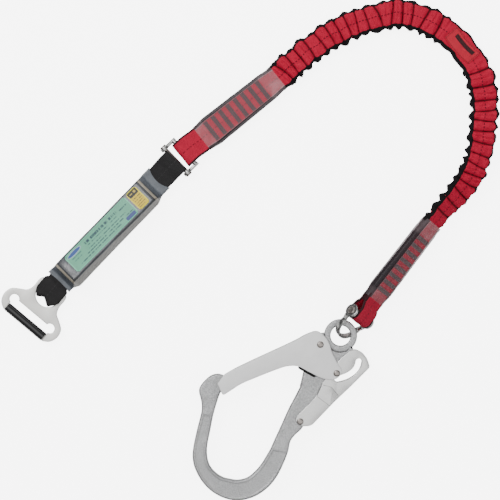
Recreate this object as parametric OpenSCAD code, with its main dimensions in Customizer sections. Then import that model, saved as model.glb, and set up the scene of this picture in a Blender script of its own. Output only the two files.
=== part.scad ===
// Shock absorbing lanyard: harness plate, tear webbing absorber, link, bellows strap,
// strap shackle and a large opening hook with a gate and a lock lever.
// It lies flat on Z = 0. Origin: bottom centre of everything but the bellows strap.

/* [Strap] */
// Width of the webbing that makes the end loops
web_w = 30; // [28:0.5:32]
// Thickness of one layer of webbing
web_t = 2.4; // [2:0.1:2.6]
// Thickness of the stitched stack of layers behind each loop
stack_t = 8.8; // [8:0.2:9]
// Width of the stack where the bellows strap starts
stack_end_w = 25; // [24:0.5:26]
// Full width of the pleated bellows sleeve
sleeve_w = 31; // [30:0.5:32]
// Full thickness of the pleated bellows sleeve
sleeve_t = 9.4; // [9:0.2:10]
// Wall of the bellows sleeve
sleeve_wall = 1.6; // [1:0.1:1.8]
// Wall of the clear end tubes
tube_wall = 1; // [0.8:0.1:1.2]
// Number of bar tacks on each face of a stitched stack
tack_count = 8; // [6:1:8]

/* [Link] */
// Distance from the link's bar to its pin
link_len = 13; // [12.5:0.5:14]
// Radius of the link's bar and of its pin
link_r = 2.5; // [2:0.1:2.6]

/* [Absorber] */
// Length of the folded pack
pack_len = 132; // [130:1:134]
// Width of the folded pack
pack_w = 32; // [31:0.5:33]
// Thickness of the folded pack
pack_t = 22; // [21:0.5:23]
// Roll of the pack about its length
pack_roll = 20; // [16:1:22]
// Wall of the vinyl cover
cover_wall = 1; // [0.8:0.1:1.2]
// Layers of folded tear webbing
fold_count = 7; // [5:1:7]

/* [Harness plate] */
// Thickness of the harness plate
plate_t = 4; // [3.5:0.1:4.2]
// Length of the sleeve on the plate's bar
roller_len = 52; // [48:1:52]
// Outer radius of the sleeve on the plate's bar
roller_r = 5; // [4.8:0.1:5.2]

/* [Hook] */
// Thickness of the forged hook body
body_t = 13; // [12:0.5:13]
// Thickness of the eye at the hook's head
eye_t = 9; // [8.8:0.1:9.2]
// Thickness of each cheek of the lock lever
lever_sheet = 1.6; // [1.4:0.1:1.6]
// Thickness of each cheek of the gate
gate_sheet = 2; // [1.8:0.1:2.2]
// Radius of the rivet shanks
rivet_r = 2.4; // [2.2:0.1:2.5]
// Radius of the rivet heads
rivet_head_r = 3.7; // [3.5:0.1:3.8]

/* [Strap shackle] */
// Thickness of the shackle's steel strip
strip_t = 3; // [2.8:0.1:3]
// Width of the shackle's steel strip
strip_w = 6; // [5.8:0.1:6.2]

/* [Hidden] */
$fn = 64;

red = [0.78, 0.12, 0.18];
dark_red = [0.35, 0.05, 0.08];
black = [0.09, 0.09, 0.09];
clear = [0.8, 0.8, 0.85, 0.5];
vinyl_grey = [0.45, 0.48, 0.51];
steel = [0.68, 0.69, 0.7];
bright = [0.9, 0.9, 0.89];

// Running fit of a turning part, space beside the webbing, and space between moving parts.
run_fit = 0.08;
side_gap = 1.2;
gap = 0.4;

// Places where the chain of parts is joined, all in the part's own frame.
lay_z = 7;
link_pin_at = [-48, 136.5, lay_z];
link_heading = 44;
link_bar_at = link_pin_at + link_len * [cos(link_heading), sin(link_heading), 0];
strap_heading = 38.5;
link_stack_len = 127;
strap_pin_at = [154, -35, 19.8];
hook_heading = 52.5;
hook_tilt = 50;
hook_stack_len = 125;
tube_start = 24;

// Centreline of the bellows strap: X, Y, Z and how far its inner edge is lifted.
strap_route = [
    [61.6, 225.4, 7, 0], [84, 245.5, 7.4, 2], [104, 262, 7.9, 3], [124, 275, 8.4, 4],
    [150, 287, 9, 5], [176, 295, 9.4, 6], [200, 298, 9.8, 7], [224, 292, 10.2, 8],
    [246, 280, 10.6, 8], [266, 262, 11, 8], [281, 241, 11.6, 8], [289, 219, 12.4, 9],
    [291, 197, 13.2, 10], [290, 176, 14.2, 12], [287, 153, 15.4, 16], [280, 129, 16.6, 22],
    [268, 108, 17.8, 30], [255, 93, 18.8, 38], [243, 80, 19.5, 45], [231, 65.4, 19.8, 50]
];
route_steps = 3;

// ---------- Shared geometry ----------

// A point on the smooth curve through a, b, c and d, at t between b and c.
function curve_point(a, b, c, d, t) =
    0.5 * (2 * b + (c - a) * t + (2 * a - 5 * b + 4 * c - d) * t * t
    + (3 * b - a - 3 * c + d) * t * t * t);

// A smooth open curve through the points, with the given number of steps between each pair.
function smooth(pts, steps) = concat(
    [for (i = [0:len(pts) - 2], k = [0:steps - 1])
        curve_point(pts[max(i - 1, 0)], pts[i], pts[i + 1],
            pts[min(i + 2, len(pts) - 1)], k / steps)],
    [pts[len(pts) - 1]]
);

// One ring of the strap's section, lying across the route at a point of it.
function ring(at, heading, tilt, half_w, half_t, sides) = [
    for (k = [0:sides - 1])
        let (
            turn = 360 * (k + 0.5) / sides,
            a = half_w * sign(cos(turn)) * sqrt(abs(cos(turn))),
            b = half_t * sign(sin(turn)) * sqrt(abs(sin(turn)))
        )
        at + a * [-sin(heading) * cos(tilt), cos(heading) * cos(tilt), sin(tilt)]
        + b * [sin(heading) * sin(tilt), -cos(heading) * sin(tilt), cos(tilt)]
];

function heading_at(path, i) =
    let (step = path[min(i + 1, len(path) - 1)] - path[max(i - 1, 0)])
    atan2(step[1], step[0]);

// Rings of a flat section swept along the bellows strap's route.
function strap_rings(half_w, half_t, sides) =
    let (path = smooth(strap_route, route_steps))
    [for (i = [0:len(path) - 1])
        each ring([path[i][0], path[i][1], path[i][2]], heading_at(path, i), -path[i][3],
            half_w, half_t, sides)];

// Triangles between neighbouring rings, from point number first on.
function wall_faces(first, rings, sides) = [
    for (i = [0:rings - 2], k = [0:sides - 1])
        let (a = first + i * sides, m = (k + 1) % sides)
        each [[a + k, a + sides + k, a + sides + m], [a + k, a + sides + m, a + m]]
];

function flipped(faces) = [for (f = faces) [f[2], f[1], f[0]]];

// A solid flat band along the strap's route.
module strap_band(half_w, half_t, sides) {
    points = strap_rings(half_w, half_t, sides);
    last = len(points) - sides;
    near_cap = [for (k = [0:sides - 1]) k];
    far_cap = [for (k = [sides - 1:-1:0]) last + k];
    polyhedron(points = points,
        faces = concat(wall_faces(0, len(points) / sides, sides), [near_cap, far_cap]));
}

// A flat hose along the strap's route, open at both ends.
module strap_hose(half_w, half_t, wall, sides) {
    outside = strap_rings(half_w, half_t, sides);
    inside = strap_rings(half_w - wall, half_t - wall, sides);
    count = len(outside);
    rims = [for (k = [0:sides - 1])
        let (m = (k + 1) % sides, far = count - sides)
        each [
            [k, m, count + m], [k, count + m, count + k],
            [far + m, far + k, count + far + k], [far + m, count + far + k, count + far + m]
        ]];
    polyhedron(points = concat(outside, inside), faces = concat(
        wall_faces(0, count / sides, sides),
        flipped(wall_faces(count, count / sides, sides)), rims));
}

module at(place, heading, tilt = 0) {
    translate(place) rotate([0, 0, heading]) rotate([tilt, 0, 0]) children();
}

module at_hook_pin() {
    at(strap_pin_at, hook_heading, hook_tilt) children();
}

// A bar along Y, centred.
module bar_y(r, length) {
    rotate([90, 0, 0]) cylinder(r = r, h = length, center = true);
}

// A block tapered in plan from one width to another, along X and centred on Z.
module tapered_block(x0, w0, x1, w1, t) {
    translate([0, 0, -t / 2]) linear_extrude(t)
        polygon([[x0, w0 / 2], [x1, w1 / 2], [x1, -w1 / 2], [x0, -w0 / 2]]);
}

// Webbing folded round a bar along Y: an eye whose two layers meet ahead of it.
module webbing_eye(bore_r, layer_t, width, meet_x, end_half_t) {
    outer_r = bore_r + layer_t;
    rotate([90, 0, 0]) linear_extrude(width, center = true) difference() {
        union() {
            circle(r = outer_r);
            polygon([[0, outer_r], [meet_x, end_half_t], [meet_x, -end_half_t], [0, -outer_r]]);
        }
        circle(r = bore_r);
        polygon([[0, bore_r], [meet_x - 3, 0], [0, -bore_r]]);
    }
}

// Rows of bar tacks on both faces of a stitched stack.
module bar_tacks(first_x, last_x, tack_w) {
    tack_len = 4.4;
    tack_t = 0.5;
    pitch = (last_x - first_x) / (tack_count - 1);
    for (i = [0:tack_count - 1], side = [-1, 1])
        translate([first_x + i * pitch, 0, side * (stack_t / 2 + tack_t / 2)])
            cube([tack_len, tack_w, tack_t], center = true);
}

// A clear tube round a stitched stack, open at both ends.
module clear_tube(x0, w0, x1, w1, t) {
    difference() {
        tapered_block(x0, w0, x1, w1, t);
        tapered_block(x0 - 1, w0 - 2 * tube_wall, x1 + 1, w1 - 2 * tube_wall,
            t - 2 * tube_wall);
    }
}

// A rivet along Z: shank between two domed heads whose inner faces are half_grip from centre.
module rivet(half_grip) {
    head_h = 1.5;
    cylinder(r = rivet_r, h = 2 * half_grip, center = true);
    for (side = [0, 1]) mirror([0, 0, side]) translate([0, 0, half_grip]) rotate_extrude()
        polygon([[0, 0], [rivet_head_r, 0], [rivet_head_r, 0.5], [2.6, head_h], [0, head_h]]);
}

// ---------- Bellows strap ----------

core_w = sleeve_w - 2 * sleeve_wall - 2;
core_t = 3.4;

module bellows_sleeve() {
    color(red) strap_hose(sleeve_w / 2, sleeve_t / 2, sleeve_wall, 12);
}

module core_webbing() {
    color(dark_red) strap_band(core_w / 2, core_t / 2, 8);
}

module link_end_loop() {
    color(red) {
        at(link_bar_at, link_heading)
            webbing_eye(link_r + run_fit, web_t, web_w, 16, stack_t / 2);
        at(link_bar_at, strap_heading)
            tapered_block(12, web_w, link_stack_len, stack_end_w, stack_t);
    }
}

module hook_end_loop() {
    color(red) at_hook_pin() {
        webbing_eye(bush_r + run_fit, web_t, web_w, 20, stack_t / 2);
        tapered_block(18, web_w, hook_stack_len, stack_end_w, stack_t);
    }
}

module link_end_tube() {
    color(clear) at(link_bar_at, strap_heading)
        clear_tube(tube_start, web_w + 4, link_stack_len, stack_end_w + 3, stack_t + 3.4);
}

module hook_end_tube() {
    color(clear) at_hook_pin()
        clear_tube(tube_start, web_w + 4, hook_stack_len, stack_end_w + 3, stack_t + 3.4);
}

module link_bar_tacks() {
    color(black) at(link_bar_at, strap_heading)
        bar_tacks(tube_start + 14, link_stack_len - 17, stack_end_w - 1);
}

module hook_bar_tacks() {
    color(black) at_hook_pin()
        bar_tacks(tube_start + 14, hook_stack_len - 17, stack_end_w - 1);
}

// A patch sewn to the strap's upper face at the outside of its bend.
module strap_label() {
    label_at = [266, 262, 11];
    color(red) at(label_at, 131, 8) translate([0, 0, sleeve_t / 2 + 1])
        cube([39, 19, 0.8], center = true);
}

// ---------- Link ----------

arm_y = web_w / 2 + side_gap + 2;

module link_shackle() {
    arm_r = 1.9;
    eye_r = 4.6;
    eye_w = 4;
    color(steel) at(link_bar_at, link_heading) {
        bar_y(link_r, 2 * arm_y);
        for (side = [-1, 1]) {
            translate([2 - link_len + 0.5, side * arm_y, 0]) rotate([0, 90, 0])
                cylinder(r = arm_r, h = link_len + 0.5);
            translate([-link_len, side * arm_y, 0]) difference() {
                bar_y(eye_r, eye_w);
                bar_y(link_r + 0.02, eye_w + 2);
            }
        }
    }
}

module link_pin() {
    head_y = arm_y + 2 + 0.1;
    color(bright) at(link_pin_at, link_heading) {
        bar_y(link_r, 2 * head_y);
        for (side = [-1, 1]) translate([0, side * (head_y + 0.7), 0]) bar_y(3.6, 1.4);
    }
}

// ---------- Absorber ----------

absorber_heading = 46;
pack_x = -109.5;
flap_t = 4.8;
flap_top_x = -26;
flap_low_x = -185;
pack_lift = 9;
pack_y = -2.2;
tail_w = 28;

module at_absorber() {
    at(link_pin_at, absorber_heading) children();
}

module at_pack() {
    at_absorber() translate([pack_x, pack_y, pack_lift]) rotate([-pack_roll, 0, 0]) children();
}

module upper_loop() {
    color(black) {
        at(link_pin_at, link_heading) mirror([1, 0, 0])
            webbing_eye(link_r + run_fit, 2.2, web_w, 16, 2.2);
        at_absorber() tapered_block(-14, web_w, pack_x + pack_len / 2 + 0.5, tail_w, 4);
    }
}

// The loop through the harness plate: two layers past the plate's rim, closed in the hole.
module lower_loop() {
    outer_h = 5.6;
    inner_h = 3.4;
    end_x = 34;
    loop_w = 24.4;
    color(black) {
        at(plate_at, plate_heading) intersection() {
            rotate([90, 0, 0]) linear_extrude(loop_w + 6, center = true) difference() {
                union() {
                    translate([end_x, 0]) circle(r = outer_h);
                    polygon([[end_x, outer_h], [51, outer_h], [57, 2], [66, 2], [66, -2],
                        [57, -2], [51, -outer_h], [end_x, -outer_h]]);
                }
                translate([end_x, 0]) circle(r = inner_h);
                polygon([[end_x, inner_h], [52.5, inner_h], [56, 0], [52.5, -inner_h],
                    [end_x, -inner_h]]);
            }
            translate([0, 0, -10]) linear_extrude(20) union() {
                translate([hole_x, 0]) circle(d = loop_w);
                translate([hole_x, -loop_w / 2]) square([40, loop_w]);
            }
        }
        at_absorber() tapered_block(pack_x - pack_len / 2 - 0.5, tail_w, flap_low_x + 2, 25, 4);
    }
}

// Webbing folded to and fro, which tears open to slow a fall.
module tear_webbing() {
    pitch = 2.8;
    layer_t = 2.2;
    fold_len = pack_len - 12;
    color(black) at_pack() rotate([90, 0, 0]) linear_extrude(tail_w, center = true) {
        for (i = [0:fold_count - 1])
            translate([0, (i - (fold_count - 1) / 2) * pitch])
                square([fold_len, layer_t], center = true);
        for (i = [0:fold_count - 2])
            translate([(i % 2 == 0 ? 1 : -1) * fold_len / 2, (i + 1 - fold_count / 2) * pitch])
                difference() {
                    circle(d = pitch + layer_t);
                    circle(d = pitch - layer_t);
                }
    }
}

// The vinyl cover: a shell round the pack with a flat welded flap at each end.
module absorber_cover() {
    color(vinyl_grey) difference() {
        union() {
            at_pack() cube([pack_len, pack_w, pack_t], center = true);
            at_absorber() {
                tapered_block(flap_low_x, web_w + 2, pack_x, web_w + 2, flap_t);
                tapered_block(pack_x, web_w + 2, flap_top_x, web_w + 2, flap_t);
            }
        }
        at_pack() cube([pack_len - 2 * cover_wall, pack_w - 2 * cover_wall,
            pack_t - 2 * cover_wall], center = true);
        at_absorber() cube([400, web_w - 0.4, flap_t - 0.6], center = true);
    }
}

// A printed label on the pack's upper face.
module pack_label(x, length, width) {
    label_t = 0.4;
    at_pack() translate([x, 0, pack_t / 2 + 0.02]) linear_extrude(label_t)
        rounded_rect(length, width, 3);
}

module rounded_rect(length, width, r) {
    square([length - 2 * r, width], center = true);
    square([length, width - 2 * r], center = true);
    for (sx = [-1, 1], sy = [-1, 1])
        translate([sx * (length / 2 - r), sy * (width / 2 - r)]) circle(r = r);
}

module rating_label() {
    color([0.47, 0.75, 0.63]) pack_label(-5.6, 94, 24.8);
}

module caution_label() {
    color([0.88, 0.76, 0.31]) pack_label(50.8, 14.4, 24.8);
}

// ---------- Harness plate ----------

plate_at = [-214, -41, lay_z];
plate_heading = 50;
bar_r = 3.5;
hole_x = 38.5;
hole_r = 13.5;
rim_x = 49.5;
slot_x = 11.5;
slot_end_y = 25.3;
slot_end_r = 5.4;

module plate_outline() {
    half = smooth([[-4.5, 24], [-3.8, 29], [0, 34.5], [6, 37.6], [12.5, 38], [19, 35.4],
        [24, 28.5], [28.5, 21.5], [36, 18.5], [45, 18.5], [50, 17], [51.8, 13]], 6);
    polygon(concat(half, [for (i = [len(half) - 1:-1:0]) [half[i][0], -half[i][1]]]));
}

module harness_plate() {
    bar_gap_y = roller_len / 2 + gap;
    color(bright) at(plate_at, plate_heading) {
        translate([0, 0, -plate_t / 2]) linear_extrude(plate_t) difference() {
            plate_outline();
            translate([hole_x, 0]) circle(r = hole_r);
            translate([hole_x, -hole_r]) square([rim_x - 2.3 - hole_x, 2 * hole_r]);
            for (side = [-1, 1]) translate([slot_x, side * slot_end_y]) circle(r = slot_end_r);
            translate([-10, -slot_end_y]) square([23, 2 * slot_end_y]);
            translate([-10, -bar_gap_y]) square([10 + roller_r + gap, 2 * bar_gap_y]);
        }
        bar_y(bar_r, 2 * bar_gap_y + 4);
    }
}

module bar_sleeve() {
    color(black) at(plate_at, plate_heading) difference() {
        bar_y(roller_r, roller_len);
        bar_y(bar_r + run_fit, roller_len + 2);
    }
}

// ---------- Strap shackle ----------

bush_r = 5.2;
pin_r = 3.2;
ear_y = web_w / 2 + side_gap;
shackle_turn = 13;
bow_r = 15;
bow_x = -15;

module at_shackle() {
    at_hook_pin() rotate([0, -shackle_turn, 0]) children();
}

// A steel strip bent to a U: round ears on the pin, necks that draw in, and a bow in the eye.
module strap_shackle() {
    ear_r = 7.5;
    color(steel) at_shackle() {
        for (side = [0, 1]) mirror([0, side, 0]) difference() {
            union() {
                translate([0, ear_y + strip_t / 2, 0]) bar_y(ear_r, strip_t);
                neck();
            }
            translate([0, ear_y, 0]) bar_y(pin_r + 0.02, 4 * strip_t);
        }
        translate([bow_x, 0, 0]) rotate([0, 0, 90]) rotate_extrude(angle = 180)
            translate([bow_r - strip_t / 2, -strip_w / 2]) square([strip_t, strip_w]);
    }
}

// The strip from an ear to the bow, which steps in towards the middle past the webbing.
module neck() {
    inner = bow_r - strip_t / 2;
    translate([0, 0, -strip_w / 2]) linear_extrude(strip_w)
        polygon([[0, ear_y], [-9, ear_y], [-13, inner], [bow_x, inner],
            [bow_x, inner + strip_t], [-12, inner + strip_t], [-8, ear_y + strip_t],
            [0, ear_y + strip_t]]);
}

module shackle_pin() {
    half = ear_y + strip_t + 0.1;
    color(bright) at_shackle() {
        bar_y(pin_r, 2 * half);
        for (side = [-1, 1]) translate([0, side * (half + 0.6), 0]) bar_y(4.2, 1.2);
    }
}

module pin_bush() {
    color(steel) at_shackle() difference() {
        bar_y(bush_r, 2 * ear_y - 0.4);
        bar_y(pin_r + 0.02, 2 * ear_y + 2);
    }
}

// ---------- Hook ----------

hook_z = 15.5;
eye_at = [133, -56];
eye_bore_r = 11;
eye_rim_r = 18.2;
gate_pivot = [110.5, -65.5];
lock_pin_at = [128.5, -97];
lever_pivot = [88.5, -150];
lever_in = body_t / 2 + gap;
lever_out = lever_in + lever_sheet;
gate_in = lever_out + gap;
gate_out = gate_in + gate_sheet;

module at_hook(place = [0, 0]) {
    translate([place[0], place[1], hook_z]) children();
}

module plate_2d(half_low, half_high) {
    for (side = [0, 1]) mirror([0, 0, side]) translate([0, 0, half_low])
        linear_extrude(half_high - half_low) children();
}

// Outside of the forged body, from the nose round the bowl to the spine's foot.
hook_outside = [
    [3, -98], [-7, -98.5], [-15, -104], [-21.5, -111.5], [-22.5, -118], [-20.5, -126],
    [-19.5, -134], [-20.5, -142], [-25, -160], [-29, -179], [-29.5, -191], [-26.5, -203],
    [-18.5, -217], [-7, -228], [7, -235], [22, -237], [39, -232.5], [53.5, -222.5],
    [63.5, -210], [71, -195], [75.5, -183], [78, -172], [83, -165], [89.5, -159]
];
// Right edge of the spine, under the lock lever, up to the swing of the lock pin.
spine_right = [[94, -152], [101, -141], [107, -127], [112, -114]];
// Inside of the body, from the gate down the spine, round the bowl and up to the nose.
hook_inside = [
    [95, -84], [92, -97], [89.5, -109.5], [84, -121.5], [74, -140], [65, -160],
    [55.5, -181], [46.5, -196], [37, -207], [26, -213.5], [12.5, -213.5], [0.5, -209.5],
    [-8.5, -202], [-13, -191], [-13.5, -180], [-11, -164.5], [-7, -144.5], [-3, -130],
    [1, -118.5], [5, -112], [7, -104]
];
pin_swing_r = 31;

module hook_outline() {
    difference() {
        union() {
            polygon(concat(
                smooth(hook_outside, 4), spine_right,
                [for (a = [-68:8:-12]) gate_pivot + pin_swing_r * [cos(a), sin(a)]],
                [[128, -56], [112, -52], [102, -56]],
                smooth(hook_inside, 4)
            ));
            translate(eye_at) circle(r = eye_rim_r);
        }
        translate(eye_at) circle(r = eye_bore_r);
    }
}

module hook_body() {
    boss_r = 5.6;
    pocket_r = 6.2;
    pocket_d = 2.6;
    color(steel) at_hook() difference() {
        union() {
            translate([0, 0, -body_t / 2]) linear_extrude(body_t) hook_outline();
            translate(gate_pivot) cylinder(r = boss_r, h = 2 * (gate_in - gap), center = true);
        }
        for (side = [0, 1]) mirror([0, 0, side]) translate([0, 0, eye_t / 2])
            translate(eye_at) cylinder(r = eye_rim_r + 0.5, h = 10);
        translate(gate_pivot) cylinder(r = rivet_r + 0.02, h = 40, center = true);
        translate(lever_pivot) cylinder(r = rivet_r + 0.02, h = 40, center = true);
        translate([lever_pivot[0], lever_pivot[1], body_t / 2 - pocket_d])
            cylinder(r = pocket_r, h = 10);
    }
}

module gate_rivet() {
    color(bright) at_hook(gate_pivot) rivet(gate_out + 0.1);
}

module lever_rivet() {
    color(bright) at_hook(lever_pivot) rivet(lever_out + 0.1);
}

module spring_coil(coil_r, wire_r) {
    rotate_extrude() translate([coil_r, 0]) circle(r = wire_r, $fn = 24);
}

// One turn of the double torsion spring on each side of the body.
module gate_spring() {
    coil_z = (body_t / 2 + gate_in) / 2;
    color(steel) at_hook(gate_pivot)
        for (side = [-1, 1]) translate([0, 0, side * coil_z]) spring_coil(7.1, 0.8);
}

module lever_spring() {
    color(steel) at_hook(lever_pivot) translate([0, 0, body_t / 2 - 1.3]) spring_coil(4.6, 0.9);
}

// A black moulded cover at the top of the spine, under the gate's lower edge.
module spring_cover() {
    color(black) at_hook() translate([0, 0, -body_t / 2]) linear_extrude(body_t) difference() {
        polygon([[86, -91], [96, -84], [106, -102], [90, -104]]);
        hook_outline();
    }
}

gate_under = [
    [-2, -108], [2, -118], [5, -120.5], [12.5, -116], [24.5, -108.5], [41, -101.5],
    [60, -94], [74, -89.5], [86, -89.5], [97, -95], [110, -101.5], [119, -104],
    [128, -103], [134, -97], [133, -91]
];
gate_over = [
    [131, -89], [124, -76], [119.5, -63], [113, -54.5], [106, -51], [95, -54.5],
    [83, -61], [65, -69.5], [41, -80.5], [17, -92], [5, -99]
];
// The gate's upper edge, where the web joins the two cheeks.
gate_web_edge = [[106, -51], [95, -54.5], [83, -61], [65, -69.5], [41, -80.5], [17, -92]];

module gate() {
    color(bright) at_hook() difference() {
        union() {
            plate_2d(gate_in, gate_out)
                polygon(concat(smooth(gate_under, 3), smooth(gate_over, 3)));
            translate([0, 0, -gate_out]) linear_extrude(2 * gate_out) polygon(concat(
                gate_web_edge,
                [for (i = [len(gate_web_edge) - 1:-1:0])
                    gate_web_edge[i] + gate_sheet * [0.45, -0.9]]
            ));
        }
        translate(gate_pivot) cylinder(r = rivet_r + run_fit, h = 60, center = true);
        translate(lock_pin_at) cylinder(r = rivet_r + 0.02, h = 60, center = true);
    }
}

module lock_pin() {
    color(bright) at_hook(lock_pin_at) rivet(gate_out + 0.02);
}

lever_outline = [
    [129, -85], [138, -76.5], [145, -71.5], [150, -71], [157, -74.5], [162, -81],
    [164.5, -88.5], [164.5, -91], [144, -111.5], [126, -128.5], [102, -153.5],
    [98.5, -155], [91, -155.5], [83, -149.5], [84, -145.5], [90.5, -138], [101, -128.5],
    [108, -119.5], [112.5, -108.5], [115.5, -104], [121, -96]
];
// The slot that the lock pin runs along, from gate shut at its left end to gate open.
lever_slot = [
    [124.9, -98], [127, -104], [132, -107], [140, -104.6], [147, -100.5], [152.5, -95],
    [156.3, -88.5], [157.3, -83], [154.5, -80.3], [151, -81.5], [148, -85.3], [141, -89],
    [134, -91.6], [128, -93.2], [125.2, -95]
];

module lock_lever() {
    web = [[164.5, -91], [144, -111.5], [126, -128.5], [102, -153.5]];
    color(bright) at_hook() difference() {
        union() {
            plate_2d(lever_in, lever_out) polygon(lever_outline);
            translate([0, 0, -lever_out]) linear_extrude(2 * lever_out) polygon(concat(
                web, [for (i = [3:-1:0]) web[i] + lever_sheet * [-0.7, 0.7]]
            ));
        }
        translate([0, 0, -30]) linear_extrude(60) polygon(smooth(lever_slot, 3));
        translate(lever_pivot) cylinder(r = rivet_r + run_fit, h = 60, center = true);
    }
}

bellows_sleeve();
core_webbing();
link_end_loop();
hook_end_loop();
link_end_tube();
hook_end_tube();
link_bar_tacks();
hook_bar_tacks();
strap_label();
link_shackle();
link_pin();
upper_loop();
lower_loop();
tear_webbing();
absorber_cover();
rating_label();
caution_label();
harness_plate();
bar_sleeve();
strap_shackle();
shackle_pin();
pin_bush();
hook_body();
gate_rivet();
lever_rivet();
gate_spring();
lever_spring();
spring_cover();
gate();
lock_pin();
lock_lever();
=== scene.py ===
"""Looks of the shock absorbing lanyard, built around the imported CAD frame.

Lengths in the code are millimetres, and every mesh is written in metres in the shared frame.
"""
import math

import bmesh
import bpy
from mathutils import Matrix, Vector, noise
from mathutils.bvhtree import BVHTree


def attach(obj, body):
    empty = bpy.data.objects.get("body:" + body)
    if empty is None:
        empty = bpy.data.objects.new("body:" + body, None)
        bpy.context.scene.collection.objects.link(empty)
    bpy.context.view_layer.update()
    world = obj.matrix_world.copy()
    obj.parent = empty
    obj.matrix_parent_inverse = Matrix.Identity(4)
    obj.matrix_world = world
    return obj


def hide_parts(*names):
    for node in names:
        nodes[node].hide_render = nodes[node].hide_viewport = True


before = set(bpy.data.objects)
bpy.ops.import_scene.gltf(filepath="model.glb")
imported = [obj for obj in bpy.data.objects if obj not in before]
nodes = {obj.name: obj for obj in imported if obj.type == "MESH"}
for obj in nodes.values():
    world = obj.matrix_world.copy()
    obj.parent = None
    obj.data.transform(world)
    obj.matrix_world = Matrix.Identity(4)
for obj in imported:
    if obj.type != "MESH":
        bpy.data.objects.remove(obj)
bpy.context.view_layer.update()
MM = 0.001


# ---------- Camera ----------

def add_object(name, data):
    obj = bpy.data.objects.new(name, data)
    bpy.context.scene.collection.objects.link(obj)
    return obj


def aim(obj, target):
    obj.rotation_euler = (Vector(target) - obj.location).to_track_quat("-Z", "Y").to_euler()


# The view is straight down on the laid out lanyard.
view_centre, view_height, view_width = Vector((0.0335, 0.038, 0.012)), 3.0, 0.55
camera = add_object("camera", bpy.data.cameras.new("camera"))
bpy.context.scene.camera = camera
camera.location = view_centre + Vector((0, 0, view_height))
camera.data.sensor_width = 36
camera.data.lens = camera.data.sensor_width * view_height / view_width
camera.data.clip_end = 20


# ---------- Shader values ----------

class Val:
    """A number in a material: each sum or product of two of them is one math node."""

    def __init__(self, tree, socket):
        self.tree, self.socket = tree, socket

    def math(self, operation, *others, clamp=False):
        node = self.tree.nodes.new("ShaderNodeMath")
        node.operation, node.use_clamp = operation, clamp
        for place, value in enumerate((self,) + others):
            put(self.tree, node.inputs[place], value)
        return Val(self.tree, node.outputs[0])

    def __add__(self, other): return self.math("ADD", other)
    def __radd__(self, other): return self.math("ADD", other)
    def __sub__(self, other): return self.math("SUBTRACT", other)
    def __rsub__(self, other): return (self * -1).math("ADD", other)
    def __mul__(self, other): return self.math("MULTIPLY", other)
    def __rmul__(self, other): return self.math("MULTIPLY", other)
    def __truediv__(self, other): return self.math("DIVIDE", other)
    def abs(self): return self.math("ABSOLUTE")
    def fract(self): return self.math("FRACT")
    def sin(self): return self.math("SINE")
    def power(self, other): return self.math("POWER", other)
    def maximum(self, other): return self.math("MAXIMUM", other)
    def minimum(self, other): return self.math("MINIMUM", other)
    def clamped(self): return self.math("MULTIPLY", 1, clamp=True)

    def wave(self, period):
        """A sine wave between 0 and 1."""
        return (self * (2 * math.pi / period)).sin() * 0.5 + 0.5

    def near(self, middle, far, close):
        """1 within close of the middle, and 0 from far on."""
        return (self - middle).abs().step(far, close)

    def dashes(self, pitch, start, end):
        """1 from start to end of each pitch, both given as parts of it."""
        part = (self / pitch).fract()
        return part.step(start, start + 0.1) * part.step(end, end - 0.1)

    def step(self, low, high):
        """0 below low, 1 above high, and smooth between."""
        node = self.tree.nodes.new("ShaderNodeMapRange")
        node.interpolation_type = "SMOOTHSTEP"
        put(self.tree, node.inputs["Value"], self)
        flip = low > high
        node.inputs["From Min"].default_value = min(low, high)
        node.inputs["From Max"].default_value = max(low, high)
        node.inputs["To Min"].default_value = 1 if flip else 0
        node.inputs["To Max"].default_value = 0 if flip else 1
        return Val(self.tree, node.outputs[0])


def put(tree, socket, value):
    """Sets a socket to a plain value, or links it to a Val."""
    if isinstance(value, Val):
        tree.links.new(value.socket, socket)
    elif isinstance(value, (tuple, list)) and len(value) == 3 and socket.type == "RGBA":
        socket.default_value = (*value, 1)
    else:
        socket.default_value = value


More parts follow.
